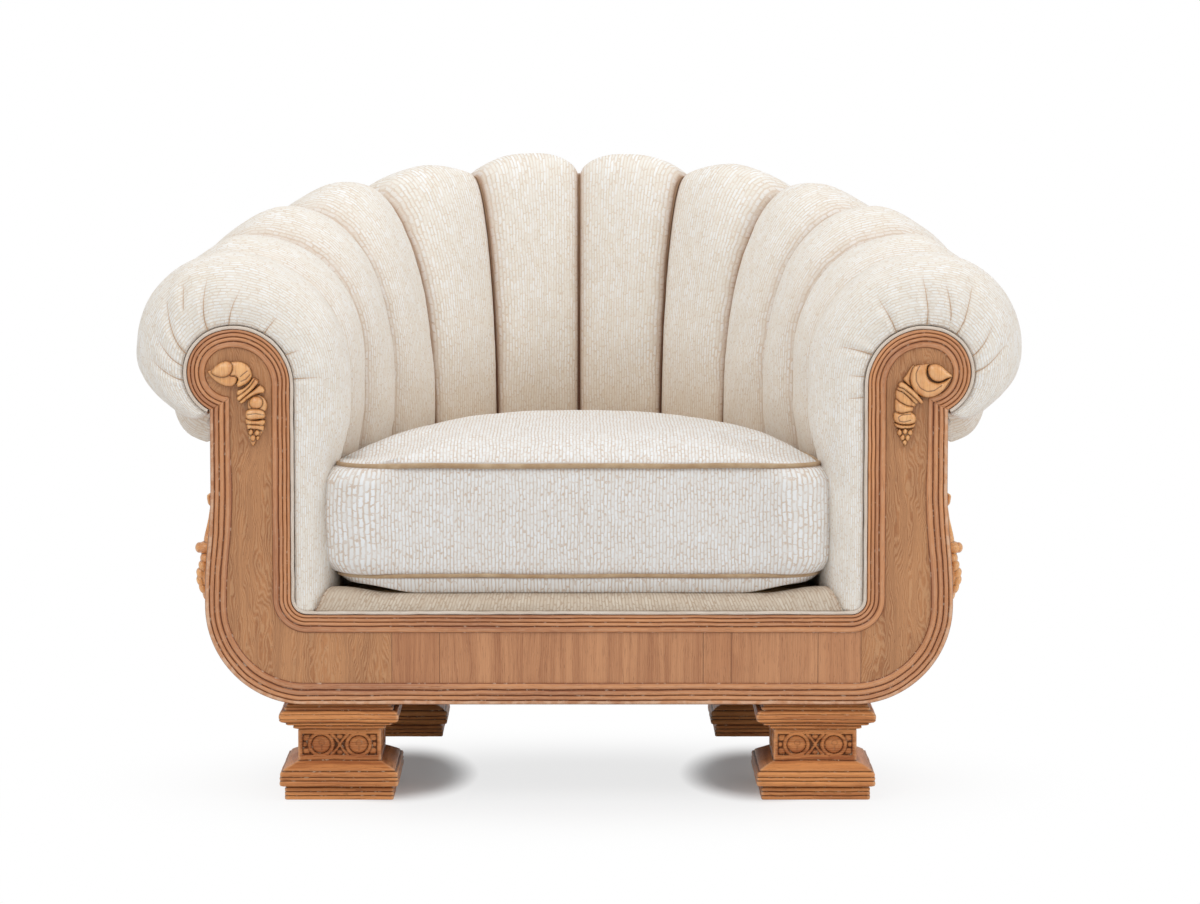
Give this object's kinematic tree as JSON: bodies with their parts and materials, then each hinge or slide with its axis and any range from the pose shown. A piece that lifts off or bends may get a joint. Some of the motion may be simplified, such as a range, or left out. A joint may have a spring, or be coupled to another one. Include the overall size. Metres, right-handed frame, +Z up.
{
  "type": "armchair",
  "caption": "Low upholstered armchair with a channelled tub back, rolled arms, reeded oak front frame and a loose seat cushion",
  "frame": {"origin": "middle of the footprint box, on the floor", "axes": "+Z up, the seat opens towards -Y, +X to the right as seen in the picture"},
  "size_m": [1.1222, 0.7422, 0.8008],
  "materials": {
    "upholstery_fabric": "woven, matte",
    "piping": "twill cord",
    "welt": "smooth cord",
    "oak_frame": "satin",
    "oak_veneer": "satin",
    "carved_oak": "polished",
    "carcass_wood": "raw",
    "zinc_steel": "zinc plated",
    "glide_plastic": "moulded",
    "webbing_jute": "woven",
    "burlap_jute": "coarse weave",
    "padding": "felted fibre",
    "dust_cloth": "thin woven"
  },
  "bodies": {
    "chair": {"arm_facing_left": "oak_frame", "arm_facing_right": "oak_frame", "arm_post_left": "carcass_wood", "arm_post_right": "carcass_wood", "back_band": "oak_frame", "burlap": "burlap_jute", "channel_01": "upholstery_fabric", "channel_02": "upholstery_fabric", "channel_03": "upholstery_fabric", "channel_04": "upholstery_fabric", "channel_05": "upholstery_fabric", "channel_06": "upholstery_fabric", "channel_07": "upholstery_fabric", "channel_08": "upholstery_fabric", "channel_09": "upholstery_fabric", "channel_10": "upholstery_fabric", "channel_11": "upholstery_fabric", "channel_12": "upholstery_fabric", "deck_cover": "upholstery_fabric", "deck_lip": "upholstery_fabric", "deck_pad": "padding", "dust_cover": "dust_cloth", "foot_blocks": "carcass_wood", "foot_front_left": "carved_oak", "foot_front_right": "carved_oak", "foot_rear_left": "carved_oak", "foot_rear_right": "carved_oak", "frame_welt": "welt", "front_rail": "oak_frame", "glides": "glide_plastic", "hanger_bolts": "zinc_steel", "inner_reeding": "oak_frame", "outer_reeding": "oak_frame", "outside_arm_left": "upholstery_fabric", "outside_arm_right": "upholstery_fabric", "outside_back": "upholstery_fabric", "roll_core_left": "padding", "roll_core_right": "padding", "scroll_carving_left": "carved_oak", "scroll_carving_right": "carved_oak", "seat_rail_back": "carcass_wood", "seat_rail_front": "carcass_wood", "seat_rail_left": "carcass_wood", "seat_rail_right": "carcass_wood", "side_band_left": "oak_frame", "side_band_right": "oak_frame", "side_carving_left": "carved_oak", "side_carving_right": "carved_oak", "side_stile_left": "oak_frame", "side_stile_right": "oak_frame", "stays": "carcass_wood", "top_rail_left": "carcass_wood", "top_rail_right": "carcass_wood", "tub_lining": "burlap_jute", "veneer_panels": "oak_veneer", "webbing": "webbing_jute"},
    "cushion": {"seat_cushion": "upholstery_fabric", "cushion_piping_upper": "piping", "cushion_piping_lower": "piping"}
  },
  "joints": [
    {"name": "cushion_slide", "type": "slide", "parent": "chair", "child": "cushion", "axis": [0, -1, 0], "range_m": [0, 0.6]}
  ]
}
